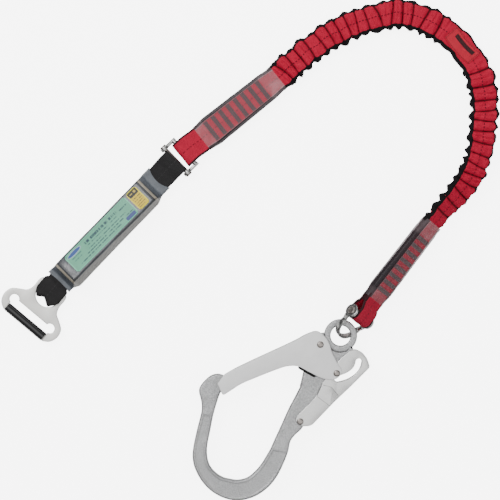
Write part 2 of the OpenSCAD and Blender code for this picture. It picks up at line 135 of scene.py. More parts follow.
class Look:
    """A material with one Principled shader, and short ways to feed it."""

    def __init__(self, name, **values):
        self.material = bpy.data.materials.new(name)
        self.material.use_nodes = True
        self.tree = self.material.node_tree
        self.shader = self.tree.nodes["Principled BSDF"]
        self.set(**values)

    def set(self, **values):
        for key, value in values.items():
            put(self.tree, self.shader.inputs[key.replace("_", " ")], value)
        return self

    def attribute(self, name):
        node = self.tree.nodes.new("ShaderNodeAttribute")
        node.attribute_name = name
        return Val(self.tree, node.outputs["Fac"])

    def attributes(self, *names):
        return [self.attribute(name) for name in names]

    def place(self, stretch=(1, 1, 1)):
        """The point in millimetres."""
        coord = self.tree.nodes.new("ShaderNodeTexCoord")
        scale = self.tree.nodes.new("ShaderNodeVectorMath")
        scale.operation = "MULTIPLY"
        self.tree.links.new(coord.outputs["Object"], scale.inputs[0])
        scale.inputs[1].default_value = [1000 * part for part in stretch]
        return Val(self.tree, scale.outputs[0])

    def along(self, *values):
        node = self.tree.nodes.new("ShaderNodeCombineXYZ")
        for place, value in enumerate(values):
            put(self.tree, node.inputs[place], value)
        return Val(self.tree, node.outputs[0])

    def noise(self, where, size, detail=3, rough=0.5):
        """Noise of about the given size in millimetres, near 0.5."""
        node = self.tree.nodes.new("ShaderNodeTexNoise")
        put(self.tree, node.inputs["Vector"], where)
        node.inputs["Scale"].default_value = 1 / size
        node.inputs["Detail"].default_value = detail
        node.inputs["Roughness"].default_value = rough
        return Val(self.tree, node.outputs["Fac"])

    def grain(self, size, detail=3, rough=0.5):
        return self.noise(self.place(), size, detail, rough)

    def mix(self, amount, low, high):
        node = self.tree.nodes.new("ShaderNodeMix")
        node.data_type = "RGBA"
        put(self.tree, node.inputs[0], amount)
        put(self.tree, node.inputs[6], low)
        put(self.tree, node.inputs[7], high)
        return Val(self.tree, node.outputs[2])

    def bump(self, height, depth=0.1, strength=1.0):
        """Height 0 to 1 becomes a relief of that depth in millimetres."""
        node = self.tree.nodes.new("ShaderNodeBump")
        node.inputs["Distance"].default_value = depth * MM
        node.inputs["Strength"].default_value = strength
        put(self.tree, node.inputs["Height"], height)
        return self.set(Normal=Val(self.tree, node.outputs[0]))

    def edge_wear(self, radius=0.6):
        """0 on flat faces, up to 1 on sharp edges."""
        bevel = self.tree.nodes.new("ShaderNodeBevel")
        bevel.samples = 4
        bevel.inputs["Radius"].default_value = radius * MM
        plain = self.tree.nodes.new("ShaderNodeNewGeometry")
        dot = self.tree.nodes.new("ShaderNodeVectorMath")
        dot.operation = "DOT_PRODUCT"
        self.tree.links.new(bevel.outputs[0], dot.inputs[0])
        self.tree.links.new(plain.outputs["Normal"], dot.inputs[1])
        return Val(self.tree, dot.outputs["Value"]).step(0.99, 0.8)


def tinted(colour, factor):
    return [min(1, factor * part) for part in colour]


def webbing(name, colour, edge_colour, edge_w, thread, herringbone=True):
    """Woven webbing with a stitched centre: s runs along it and u across it, in millimetres."""
    look = Look(name, Roughness=0.8, Specular_IOR_Level=0.25)
    s, u = look.attributes("s", "u")
    slant = u.abs() * 1.1 if herringbone else u * 0
    weave = (s + slant).wave(1.5) * 0.65 + u.wave(1.15) * 0.35
    patchy, fuzz = look.grain(7, 4), look.grain(0.5, 2)
    shade = (weave * 0.55 + patchy * 0.6 + fuzz * 0.4 - 0.25).clamped()
    body = look.mix(shade, tinted(colour, 0.5), tinted(colour, 1.2))
    inside = webbing_half - edge_w
    body = look.mix(u.abs().step(inside - 0.4, inside + 0.4), body, edge_colour)
    seam = u.abs().step(0.55, 0.3) * s.dashes(4.2, 0.2, 0.92) * 0.85
    look.set(Base_Color=look.mix(seam, body, thread))
    return look.bump(weave * 0.7 + fuzz * 0.2 + seam * 0.8, 0.28).material


def metal(name, colour, rough, wear, grain=1.0, streak=0.0, pits=0.0, relief=0.03, bare=1.0):
    """Satin metal with uneven finish, fine pits, and lighter worn edges."""
    look = Look(name, Metallic=bare)
    fine, broad = look.grain(0.35 * grain, 3, 0.6), look.grain(14, 3)
    height = fine
    tone = broad * 0.5 + fine * 0.35 + 0.1
    if streak:
        lines = look.noise(look.place((0.06, 1, 1)), 0.4, 3)
        tone = tone + (lines - 0.5) * streak
        height = height + lines * streak
    if pits:
        spots = look.grain(0.9, 2, 0.7).step(0.62, 0.4)
        tone = tone - (1 - spots) * pits
        height = height + spots * pits
    tone = (tone + look.edge_wear() * wear).clamped()
    look.set(Base_Color=look.mix(tone, tinted(colour, 0.72 - 0.5 * pits), tinted(colour, 1.15)),
             Roughness=broad * 0.12 + fine * 0.1 + rough - 0.1)
    return look.bump(height, relief).material


def plastic(name, colour, rough, relief=0.04, gloss=0.0):
    """Moulded plastic with faint grain and long scuffs."""
    look = Look(name, Coat_Weight=gloss, Coat_Roughness=0.05, Specular_IOR_Level=0.25)
    fine, broad = look.grain(0.6, 3), look.grain(9, 3)
    scuffs = look.noise(look.place((0.1, 1, 1)), 1.4, 4, 0.7).step(0.62, 0.75)
    look.set(Base_Color=look.mix((fine + broad) * 0.5, tinted(colour, 0.6), tinted(colour, 1.5)),
             Roughness=rough + scuffs * 0.2 + (fine - 0.5) * 0.15)
    return look.bump(fine, relief).material


# The second colour is painted shade for the bellows' fold valleys.
RED, VALLEY_SHADE, DARK = (0.52, 0.009, 0.042), (0.035, 0.001, 0.002), (0.006, 0.005, 0.006)


def bellows_look():
    """Gathered red fabric: black elastic edges, a dashed centre seam, and painted shade darkening
    the fold valleys.
    """
    look = Look("bellows_fabric", Roughness=0.85, Specular_IOR_Level=0.2)
    s, u, fold = look.attributes("s", "u", "fold")
    twill, cross = (s + u * 0.6).wave(1.1), u.wave(0.95)
    patchy, fuzz = look.grain(6, 4, 0.6), look.grain(0.55, 2)
    shade = twill * 0.25 + cross * 0.15 + patchy * 0.7 + fuzz * 0.3 - 0.22
    body = look.mix(shade.clamped(), (0.30, 0.003, 0.018), (0.68, 0.014, 0.060))
    # Painted shade: the fold valleys turn near black.
    body = look.mix(fold.step(0.62, 0.05) * 0.95, body, VALLEY_SHADE)
    wander = (look.noise(look.along(s, 0.0, 0.0), 5, 2) - 0.5) * 2.2
    band = (u * -1 + wander).step(11.6, 12.1).maximum((u + wander * -1).step(12.2, 12.7))
    body = look.mix(band, body, DARK)
    seam = u.near(-0.2, 0.7, 0.4) * s.dashes(3.6, 0.15, 0.8)
    look.set(Base_Color=look.mix(seam * 0.85, body, (0.05, 0.008, 0.012)))
    return look.bump(twill * 0.5 + cross * 0.3 + fuzz * 0.3 + seam * 0.6, 0.26).material


def tube_look():
    """Clear heat shrunk tube: a faint pink grey veil, wrinkles, brighter at its cut ends, and
    painted shade that turns its slack fins and grazing edges near black.
    """
    look = Look("clear_vinyl", Roughness=0.34, IOR=1.45)
    # The fin mask marks the slack sides, which get painted shade below.
    rim, fin = look.attribute("rim"), look.attribute("fin").step(0.70, 0.79)
    ripple = look.grain(9, 3) * 0.7 + look.grain(2.2, 2) * 0.3
    haze = look.grain(14, 4, 0.65)
    clear = look.tree.nodes.new("ShaderNodeBsdfTransparent")
    blend = look.tree.nodes.new("ShaderNodeMixShader")
    facing = look.tree.nodes.new("ShaderNodeLayerWeight")
    facing.inputs["Blend"].default_value = 0.3
    # Painted shade: the veil and the clear tint darken where the tube is seen at a grazing angle.
    glance_shade = Val(look.tree, facing.outputs["Facing"]).step(0.35, 0.95)
    milky = (haze.step(0.40, 0.66) * 0.5 + 0.5) * rim * (1 - fin * 0.9)
    amount = 0.07 + haze * 0.07 + glance_shade * 0.1 + milky * 0.14 + fin * 0.78
    put(look.tree, blend.inputs[0], amount.clamped())
    put(look.tree, clear.inputs[0], look.mix(glance_shade, (0.92, 0.88, 0.89), (0.62, 0.58, 0.60)))
    look.tree.links.new(clear.outputs[0], blend.inputs[1])
    look.tree.links.new(look.shader.outputs[0], blend.inputs[2])
    look.tree.links.new(blend.outputs[0], look.tree.nodes["Material Output"].inputs[0])
    # Painted shade: the slack fins and grazing edges get a near black, mostly opaque veil.
    veil = look.mix(fin.maximum(glance_shade), (0.80, 0.50, 0.54), (0.030, 0.024, 0.028))
    look.set(Base_Color=look.mix(milky, veil, (0.85, 0.66, 0.69)), Specular_IOR_Level=0.12)
    return look.bump(ripple, 0.5).material


def vinyl_look():
    """Welded blue grey vinyl over the folded pack, with pale weld lines at both ends, painted shade
    near the pack's ends and along the top's edges, and a painted highlight band.
    """
    look = Look("grey_vinyl", Specular_IOR_Level=0.45)
    s, u = look.attributes("s", "u")
    cloudy = look.grain(26, 3, 0.5)
    crease = look.noise(look.place((1, 0.45, 1)), 5, 3, 0.6)
    body = look.mix(cloudy.step(0.3, 0.7), (0.060, 0.068, 0.080), (0.130, 0.145, 0.165))
    # Painted shade in two bands over the pack's ends, and a painted highlight band near its plate
    # end.
    end_shade = s.near(pack_x - 61, 8, 1).maximum(s.near(pack_x + 63, 6, 1))
    painted_highlight = s.near(pack_x - 57, 3.5, 0.5) * u.near(1, 11, 3)
    body = look.mix(end_shade * 0.7, body, (0.040, 0.040, 0.043))
    body = look.mix(painted_highlight * 0.5, body, (0.38, 0.38, 0.40))
    for middle in (pack_x + 64.4, pack_x - 64.4):
        body = look.mix(s.near(middle, 1.5, 1.0) * 0.8, body, (0.46, 0.41, 0.32))
    # Painted shade: a dark line along both rounded edges of the top face.
    edge = u.abs().near(14.6, 0.9, 0.3) * look.attribute("top")
    body = look.mix(edge * 0.8, body, (0.025, 0.026, 0.028))
    side = look.attribute("side").step(0.5, 0.7)
    body = look.mix(side * 0.75, body, (0.40, 0.385, 0.355))
    body = look.mix(side * look.attribute("b").wave(2.8) * 0.25, body, (0.12, 0.12, 0.12))
    look.set(Base_Color=body, Roughness=crease * 0.2 + 0.18)
    return look.bump(crease * 0.6 + cloudy * 0.4, 0.5).material


def label_look(name, paper, ink, half, rows, blocks):
    """A printed film label: rows of plain bars of uneven length, with no lettering."""
    look = Look(name, Roughness=0.4, Specular_IOR_Level=0.3)
    s, u = look.attributes("s", "u")
    cloudy = look.grain(11, 3)
    body = look.mix(cloudy, tinted(paper, 0.85), tinted(paper, 1.2))
    for at_u, high, first, last, word in rows:
        line = (u.near(at_u, high, high - 0.3)
                * s.step(first, first + 0.5) * s.step(last, last - 0.5))
        marks = look.noise(look.along(s / word, at_u, 0.0), 1.0, 1).step(0.44, 0.50)
        body = look.mix(line * marks * 0.95, body, ink)
    for at_s, at_u, long, high, soft, tint in blocks:
        mark = (((s - at_s).abs() / long).power(soft)
                + ((u - at_u).abs() / high).power(soft)).step(1.1, 0.95)
        body = look.mix(mark, body, tint)
    rim = (s.abs() - half[0]).step(-1.2, -0.8).maximum((u.abs() - half[1]).step(-1.2, -0.8))
    look.set(Base_Color=look.mix(rim * 0.6, body, tinted(paper, 1.9)))
    return look.bump(cloudy, 0.25).material


def patch_look():
    """The sewn patch on the bend: orange red, a dark strip of plain bars, stitched border."""
    look = Look("label_patch", Roughness=0.6, Specular_IOR_Level=0.3)
    s, u = look.attributes("s", "u")
    weave, cloudy = (s + u).wave(0.9), look.grain(6, 3)
    body = look.mix(weave * 0.4 + cloudy * 0.6, (0.40, 0.006, 0.022), (0.62, 0.010, 0.040))
    strip = u.near(-3.2, 2.7, 2.4) * s.near(-1, 14.2, 13.8)
    hatch = ((s + u * 0.7) / 2.1).fract().step(0.3, 0.4) * u.near(-3.2, 2.2, 1.9)
    body = look.mix(strip, body, look.mix(hatch * 0.8, (0.07, 0.004, 0.008), (0.008, 0.003, 0.004)))
    round_it = (s.abs() - 18.4).abs().minimum((u.abs() - 8.3).abs())
    seam = round_it.step(0.45, 0.25) * ((s + u) / 2.4).fract().step(0.25, 0.35)
    look.set(Base_Color=look.mix(seam * 0.8, body, (0.08, 0.01, 0.015)))
    return look.bump(weave * 0.6 + seam * 0.8, 0.2).material


def thread_look():
    look = Look("dark_thread", Roughness=0.6, Sheen_Weight=0.3)
    s, u = look.attributes("s", "u")
    zig = ((u / 1.1).fract() - 0.5).abs() * 2
    cords, fuzz = (s * 0.9 + zig * 2.6).wave(1.3), look.grain(0.5, 2)
    look.set(Base_Color=look.mix(cords * 0.7 + fuzz * 0.3,
                                 (0.008, 0.005, 0.006), (0.085, 0.060, 0.065)))
    return look.bump(cords, 0.3).material


# ---------- Shared geometry ----------

def vec(*parts):
    return Vector(parts)


def arc(cx, cy, r, angles):
    """Points round a centre at the angles, in degrees."""
    return [(cx + r * math.cos(math.radians(a)), cy + r * math.sin(math.radians(a)))
            for a in angles]


def beside(path, i):
    """The points before and after point i of an open path, or the point itself at an end."""
    return path[max(i - 1, 0)], path[min(i + 1, len(path) - 1)]


def smooth(points, steps):
    """A smooth open curve through the points."""
    out = []
    for i in range(len(points) - 1):
        a, b = points[max(i - 1, 0)], points[i]
        c, d = points[i + 1], points[min(i + 2, len(points) - 1)]
        for k in range(steps):
            t = k / steps
            out.append(tuple(0.5 * (2 * b[j] + (c[j] - a[j]) * t
                                    + (2 * a[j] - 5 * b[j] + 4 * c[j] - d[j]) * t * t
                                    + (3 * b[j] - a[j] - 3 * c[j] + d[j]) * t ** 3)
                             for j in range(len(b))))
    return out + [tuple(points[-1])]


def even(points, pitch):
    """The same curve with points about pitch apart."""
    length = [0.0]
    for a, b in zip(points, points[1:]):
        length.append(length[-1] + math.dist(a[:3], b[:3]))
    count = max(2, round(length[-1] / pitch))
    out, j = [], 0
    for i in range(count + 1):
        want = length[-1] * i / count
        while j < len(points) - 2 and length[j + 1] < want:
            j += 1
        part = (want - length[j]) / max(1e-9, length[j + 1] - length[j])
        out.append(tuple(p + (q - p) * part for p, q in zip(points[j], points[j + 1])))
    return out


def ease(x, low, high):
    t = min(1, max(0, (x - low) / (high - low)))
    return t * t * (3 - 2 * t)


def between(a, b, t):
    return a + (b - a) * t


def turn(place, heading, tilt=0, roll=0):
    """A local frame: heading about Z, then tilt about its X, then roll about its Y."""
    matrix = Matrix.Translation(place)
    for angle, axis in ((heading, "Z"), (tilt, "X"), (roll, "Y")):
        matrix = matrix @ Matrix.Rotation(math.radians(angle), 4, axis)
    return matrix


# Turns a lathe's axis from local Z to local Y.
AXIS_TO_Y = Matrix.Rotation(math.radians(-90), 4, "X")


def headed(place, heading, p):
    """The local point p of a level frame with the heading, in radians."""
    return place + vec(p.x * math.cos(heading) - p.y * math.sin(heading),
                       p.x * math.sin(heading) + p.y * math.cos(heading), p.z)


def made(name, mesh_points, faces, material, body, attributes=None, where=None,
         smooth_angle=50, node=None):
    """A mesh object from points in millimetres, which may stand for a CAD node."""
    mesh = bpy.data.meshes.new(name)
    points = [where @ Vector(p) if where else Vector(p) for p in mesh_points]
    mesh.from_pydata([p * MM for p in points], [], faces)
    for key, values in (attributes or {}).items():
        layer = mesh.attributes.new(key, "FLOAT", "POINT")
        layer.data.foreach_set("value", values)
    return shown(name, mesh, material, body, smooth_angle, node)


def shown(name, mesh, material, body, smooth_angle, node=None):
    """The object of a mesh on its body, shaded smooth below the angle."""
    mesh.validate()
    work = bmesh.new()
    work.from_mesh(mesh)
    bmesh.ops.recalc_face_normals(work, faces=work.faces)
    for face in work.faces:
        face.smooth = True
    for edge in work.edges:
        if len(edge.link_faces) == 2:
            edge.smooth = edge.calc_face_angle() < math.radians(smooth_angle)
    work.to_mesh(mesh)
    work.free()
    mesh.materials.append(material)
    obj = add_object(name, mesh)
    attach(obj, body)
    if node:
        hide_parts(node)
    return obj


def repaint(material, *names):
    """CAD nodes that show as they are, in a material of this script."""
    for name in names:
        nodes[name].data.materials.clear()
        nodes[name].data.materials.append(material)


def loft(rings, caps=True):
    """Points and faces of a skin through closed rings that have the same number of points."""
    size = len(rings[0])
    points = [p for ring in rings for p in ring]
    faces = []
    for i in range(len(rings) - 1):
        for k in range(size):
            a, b = i * size + k, i * size + (k + 1) % size
            faces.append((a, b, b + size, a + size))
    if caps:
        faces.append(tuple(range(size - 1, -1, -1)))
        faces.append(tuple(range(len(points) - size, len(points))))
    return points, faces


class Skin:
    """A mesh grown ring by ring, with the values of its attributes at each point."""

    def __init__(self):
        self.rings, self.values = [], {}

    def add(self, point, **values):
        self.rings[-1].append(point)
        for key, value in values.items():
            self.values.setdefault(key, []).append(value)

    def made(self, name, material, body, caps=True, **options):
        return made(name, *loft(self.rings, caps), material, body, self.values, **options)


def flat_section(half_w, half_t, corner, across=10, bend=4):
    """Points round a flat bar's section with rounded corners, as (across, up)."""
    corner = min(corner, half_t * 0.999, half_w * 0.999)
    out = []
    for cx, cy, start in ((1, 1, 0), (-1, 1, 90), (-1, -1, 180), (1, -1, 270)):
        out += arc(cx * (half_w - corner), cy * (half_t - corner), corner,
                   [start + 90 * k / bend for k in range(bend + 1)])
        if start in (0, 180):
            x0, x1 = cx * (half_w - corner), -cx * (half_w - corner)
            out += [(between(x0, x1, k / across), cy * half_t) for k in range(1, across)]
    return out


def ribbon(name, path, half_w, layer_t, material, body, warp, node=None):
    """Webbing along a path in a local X-Z plane. half_w is a function of the point."""
    path = even(path, 1.2)
    skin, run = Skin(), 0.0
    for i, p in enumerate(path):
        q, r = beside(path, i)
        along = Vector((r[0] - q[0], 0, r[1] - q[1])).normalized()
        up = Vector((-along.z, 0, along.x))
        if i:
            run += math.dist(path[i - 1], p)
        skin.rings.append([])
        for a, b in flat_section(half_w(p), layer_t / 2, 0.8, 12, 3):
            lift = 0.12 * math.sin(run * 0.9 + a * 0.3) if abs(b) > layer_t * 0.4 else 0
            point = Vector((p[0], a, p[1])) + up * (b + lift * (1 if b > 0 else -1))
            skin.add(warp(point), s=run, u=a)
    return skin.made(name, material, body, node=node)


def lathe(name, profile, material, body, where, around=48, node=None):
    """A solid turned about local Z from (radius, height) points. Ends at radius 0 are closed."""
    points, faces = [], []
    for i in range(around):
        a = 2 * math.pi * i / around
        points += [(r * math.cos(a), r * math.sin(a), z) for r, z in profile]
    size = len(profile)
    for i in range(around):
        j = (i + 1) % around
        for k in range(size - 1):
            faces.append((i * size + k, j * size + k, j * size + k + 1, i * size + k + 1))
    mesh = bpy.data.meshes.new(name)
    mesh.from_pydata([(where @ Vector(p)) * MM for p in points], [], faces)
    work = bmesh.new()
    work.from_mesh(mesh)
    bmesh.ops.remove_doubles(work, verts=work.verts, dist=1e-6)
    work.to_mesh(mesh)
    work.free()
    return shown(name, mesh, material, body, 35, node)


def slab(name, outlines, low, high, round_off, material, body, where, node=None):
    """A plate between two heights with rounded edges, from an outline and the holes in it."""
    work = bmesh.new()
    edges = []
    for loop in outlines:
        ring = [work.verts.new(Vector((x, y, low)) * MM) for x, y in loop]
        edges += [work.edges.new((ring[k], ring[(k + 1) % len(ring)])) for k in range(len(ring))]
    bmesh.ops.triangle_fill(work, use_beauty=True, use_dissolve=False, edges=edges)
    grown = bmesh.ops.extrude_face_region(work, geom=list(work.faces))
    top = [v for v in grown["geom"] if isinstance(v, bmesh.types.BMVert)]
    bmesh.ops.translate(work, verts=top, vec=(0, 0, (high - low) * MM))
    bmesh.ops.recalc_face_normals(work, faces=work.faces)
    rims = [e for e in work.edges if len(e.link_faces) == 2
            and e.calc_face_angle() > math.radians(60)
            and abs(e.verts[0].co.z - e.verts[1].co.z) < 1e-6]
    bmesh.ops.bevel(work, geom=rims, offset=round_off * MM, segments=3, profile=0.5,
                    affect="EDGES", clamp_overlap=False)
    grow = Matrix.Scale(MM, 4)
    bmesh.ops.transform(work, matrix=grow @ where @ grow.inverted(), verts=work.verts)
    mesh = bpy.data.meshes.new(name)
    work.to_mesh(mesh)
    work.free()
    return shown(name, mesh, material, body, 32, node)


def round_corners(points, radius, steps=5):
    """A closed outline with each corner cut to a curve. radius is one number or one a point."""
    out = []
    for i, p in enumerate(points):
        r = radius[i] if isinstance(radius, (list, tuple)) else radius
        a, b, c = Vector(points[i - 1]), Vector(p), Vector(points[(i + 1) % len(points)])
        reach = min(r, (a - b).length * 0.48, (c - b).length * 0.48)
        start, end = b + (a - b).normalized() * reach, b + (c - b).normalized() * reach
        for k in range(steps + 1):
            t = k / steps
            q = start * (1 - t) ** 2 + b * 2 * t * (1 - t) + end * t * t
            out.append((q.x, q.y))
    return out


def rounded_copy(name, node, width, material, body, segments=3):
    """A copy of a CAD node with its sharp edges rounded, which stands for the node."""
    mesh = nodes[node].data.copy()
    mesh.materials.clear()
    work = bmesh.new()
    work.from_mesh(mesh)
    bmesh.ops.remove_doubles(work, verts=work.verts, dist=2e-6)
    bmesh.ops.dissolve_limit(work, angle_limit=math.radians(0.6), verts=work.verts,
                             edges=work.edges)
    tree = BVHTree.FromBMesh(work)
    edges = [e for e in work.edges
             if len(e.link_faces) == 2 and e.calc_face_angle() > math.radians(25)]
    bmesh.ops.bevel(work, geom=edges, offset=width * MM, segments=segments, profile=0.5,
                    affect="EDGES", clamp_overlap=False, harden_normals=False)
    bmesh.ops.triangulate(work, faces=[f for f in work.faces if len(f.verts) > 4])
    # A bevel on a short edge can throw a point far off: such a point goes back to the CAD's skin.
    for v in work.verts:
        near, _, _, far = tree.find_nearest(v.co)
        if far > 0.6 * width * MM:
            v.co = near
    work.to_mesh(mesh)
    work.free()
    return shown(name, mesh, material, body, 30, node)


# ---------- Places shared with the CAD ----------

lay_z = 7
link_pin_at = vec(-48, 136.5, lay_z)
link_heading, strap_heading = 44, 38.5
link_bar_r, link_reach = 2.5, 13
link_bar_at = link_pin_at + link_reach * vec(math.cos(math.radians(link_heading)),
                                             math.sin(math.radians(link_heading)), 0)
link_stack_len, hook_stack_len, tube_start = 127, 125, 24
webbing_half = 15
bush_r = 5.2
strap_pin_at, strap_pin_turn = vec(154, -35, 19.8), (52.5, 50)
hook_pin = turn(strap_pin_at, *strap_pin_turn)
shackle_place = turn(strap_pin_at, *strap_pin_turn, -13)
absorber_heading, pack_x, pack_lift, pack_y = 46, -109.5, 9, -2.2
plate_place = turn(vec(-214, -41, lay_z), 50)
hook_z = 15.5
hook_place = Matrix.Translation(vec(0, 0, hook_z))
patch_at = vec(266, 262, 11)

# Points of the strap's middle line: X, Y, Z and its tilt in degrees.

strap_route = [
    (61.6, 225.4, 7, 0), (84, 245.5, 7.4, 2), (104, 262, 7.9, 3), (124, 275, 8.4, 4),
    (150, 287, 9, 5), (176, 295, 9.4, 6), (200, 298, 9.8, 7), (224, 292, 10.2, 8),
    (246, 280, 10.6, 8), (266, 262, 11, 8), (281, 241, 11.6, 8), (289, 219, 12.4, 9),
    (291, 197, 13.2, 10), (290, 176, 14.2, 12), (287, 153, 15.4, 16), (280, 129, 16.6, 22),
    (268, 108, 17.8, 30), (255, 93, 18.8, 38), (243, 80, 19.5, 45), (231, 65.4, 19.8, 50),
]

bright_steel = metal("bright_steel", (0.50, 0.50, 0.49), 0.22, 0.3, streak=0.2)
rivet_steel = metal("rivet_steel", (0.34, 0.31, 0.29), 0.3, 0.4, streak=0.15)
forged_steel = metal("forged_steel", (0.62, 0.625, 0.63), 0.42, 0.35, grain=1.9, pits=0.5,
                     relief=0.14)
plate_alloy = metal("plate_alloy", (0.80, 0.79, 0.76), 0.36, 0.2, streak=0.15, bare=0.7)
gate_alloy = metal("gate_alloy", (0.95, 0.95, 0.94), 0.40, 0.1, grain=0.8, bare=0.25)
# A darker copy of the gate's metal: painted shade on the gate's folded web.
gate_web_shaded = metal("gate_web_shaded", (0.34, 0.34, 0.33), 0.36, 0.15, streak=0.2)
lever_alloy = metal("lever_alloy", (0.60, 0.60, 0.59), 0.20, 0.3, streak=0.5)
black_plastic = plastic("black_plastic", (0.010, 0.010, 0.011), 0.16, relief=0.01, gloss=0.5)
guard_plastic = plastic("guard_plastic", (0.006, 0.006, 0.006), 0.7)
red_webbing = webbing("red_webbing", RED, (0.030, 0.006, 0.009), 2.0, (0.10, 0.006, 0.012))
black_webbing = webbing("black_webbing", (0.020, 0.019, 0.020), (0.010, 0.010, 0.010), 1.0,
                        (0.035, 0.034, 0.036), herringbone=False)


# ---------- Bellows strap, a free flat cord ----------

def bellows():
    """The gathered sleeve: pillows between sharp fold valleys, ruffled at both edges."""
    path = even(smooth(strap_route, 12), 0.75)
    skin, run = Skin(), 0.0
    for i, p in enumerate(path):
        q, r = beside(path, i)
        if i:
            run += math.dist(path[i - 1][:3], p[:3])
        heading, tilt = math.atan2(r[1] - q[1], r[0] - q[0]), math.radians(-p[3])
        across = vec(-math.sin(heading) * math.cos(tilt),
                     math.cos(heading) * math.cos(tilt), math.sin(tilt))
        up = vec(math.sin(heading) * math.sin(tilt),
                 -math.cos(heading) * math.sin(tilt), math.cos(tilt))
        at_end = min(ease(i, 0, 14), ease(len(path) - 1 - i, 0, 14))
        calm = at_end * (1 - 0.85 * near_patch(p))
        count = run / 12.5 + 0.9 * noise.noise(vec(run * 0.021, 3.0, 1.0))
        size = 0.82 + 0.75 * noise.noise(vec(math.floor(count) * 1.7, 8.0, 2.0))
        slant = 0.5 * noise.noise(vec(run * 0.05, 5.0, 4.0))
        shift = 1.6 * noise.noise(vec(run * 0.075, 1.0, 9.0)) * at_end
        wave = 2 * math.pi * (run / 13.5 + 0.7 * noise.noise(vec(run * 0.03, 6.0, 6.0)))
        skin.rings.append([])
        for a, b in flat_section(1, 0.36, 0.34, 22, 5):
            side = 1 if b > 0 else -1
            part = (count + slant * a + 0.06 * a * a + (0 if side > 0 else 0.37)) % 1
            pillow = (1 - abs(2 * part - 1) ** 3.4) * size
            crease = 0.28 * math.exp(-((part - 0.5) / 0.07) ** 2) * (1 if size > 0.8 else 0.2)
            wrinkle = noise.noise(vec(run * 0.30, a * 2.6, 5.0 + side))
            puff = ((pillow - crease - 0.5) * 4.4 + wrinkle * 1.1) * calm
            crown = 3.9 + 0.6 * (1 - a * a)
            half_w = 15.3 + ((pillow - 0.55) * 2.6 + 0.9 * wrinkle) * calm
            z = (b / 0.36) * (crown + puff * (0.45 + 0.55 * ease(abs(a), 1.0, 0.7)))
            rim = ease(abs(a), 0.72, 1.0) * calm
            reach = (1.7 if a < 0 else 1.1) * math.sin(wave + (0 if a < 0 else 2.1)) * rim
            lift = (1.6 if a < 0 else 0.9) * math.cos(wave + (0 if a < 0 else 2.1)) * rim
            point = (vec(*p[:3]) + across * (a * half_w + shift + (reach if a < 0 else -reach))
                     + up * (z + lift))
            point.z = max(point.z, 0.3)
            height = min(1.0, (pillow - crease * 0.8) / size)
            # The fold value is low in the valleys, where the fabric's colour gets painted shade.
            skin.add(point, s=run, u=a * 15.6, fold=height * calm + (1 - calm))
    obj = skin.made("bellows", bellows_look(), "strap", smooth_angle=80)
    followed = path[::8]
    if (len(path) - 1) % 8:
        followed.append(path[-1])
    return obj, [vec(*p[:3]) * MM for p in followed], run


def near_patch(p):
    return ease(math.hypot(p[0] - patch_at.x, p[1] - patch_at.y), 29, 20)


def patch():
    """The smooth label sewn flat over the folds at the outside of the bend."""
    where = turn(patch_at, 131, 8)
    half_len, half_w, skin = 19.5, 9.5, Skin()
    for i in range(27):
        x = -half_len + 2 * half_len * i / 26
        skin.rings.append([])
        for a, b in flat_section(half_w, 0.4, 0.35, 10, 2):
            sag = -0.0022 * x * x + 0.15 * math.sin(x * 0.45 + a * 0.3) - 0.010 * a * a
            skin.add(where @ vec(x, a + 1.2 - 0.006 * x * x, 6.2 + b + sag), s=x, u=a)
    return skin.made("patch", patch_look(), "strap", node="strap_label")


strap, strap_path, strap_length = bellows()
strap_patch = patch()
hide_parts("bellows_sleeve")
repaint(red_webbing, "core_webbing")
strap_length * MM


# ---------- Strap ends ----------

def link_warp(p):
    slack = 1.2 * (1 - p.y / webbing_half) * ease(p.x, 6, -3)
    heading = math.radians(between(link_heading, strap_heading, ease(p.x - slack, 2, 20)))
    return headed(link_bar_at, heading, vec(p.x - slack, p.y, p.z))


def hook_warp(p):
    return hook_pin @ p


def strap_end(name, bar_r, length, warp):
    """Webbing looped round a bar, both tails stitched in a stack of layers."""
    mid_r = bar_r + 0.08 + 1.2

    def half(p):
        return between(webbing_half, 12.5, ease(p[0], 18, length))

    tail = [(length + 3.5, 3.2), (26, 3.2), (17, 3.15), (11, mid_r * 0.9), (6, mid_r)]
    loop = tail + arc(0, 0, mid_r, range(75, 286, 15)) + [(x, -z) for x, z in reversed(tail)]
    ribbon(name + "_loop", smooth(loop, 6), half, 2.4, red_webbing, "strap", warp, name + "_loop")
    for side, level in ((-1, "low"), (1, "high")):
        ribbon(f"{name}_layer_{level}", [(17, side), (length + 3.5, side)],
               lambda p: half(p) - 0.5, 1.7, red_webbing, "strap", warp)


def bar_tack_rows(name, node, length, warp):
    """Rows of thick zigzag stitches across both faces of the stack."""
    first, last, rows = tube_start + 14, length - 17, 8
    points, faces, s_at, u_at = [], [], [], []
    for i in range(rows):
        x = first + (last - first) * i / (rows - 1)
        for side in (-1, 1):
            rings = []
            for k in range(49):
                y = -12 + 24 * k / 48
                ring = []
                for a, b in flat_section(2.45, 0.32, 0.3, 6, 2):
                    rise = 0.16 * math.sin(y * 4.2 + a * 1.4) if b > 0 else 0
                    sway = 0.18 * math.sin(y * 2.1 + i)
                    ring.append(warp(vec(x + a + sway, y, side * (4.55 + b + rise))))
                    s_at.append(a)
                    u_at.append(y)
                rings.append(ring)
            start = len(points)
            more, more_faces = loft(rings)
            points += more
            faces += [tuple(start + j for j in face) for face in more_faces]
    made(name, points, faces, dark_thread, "strap", {"s": s_at, "u": u_at}, node=node)


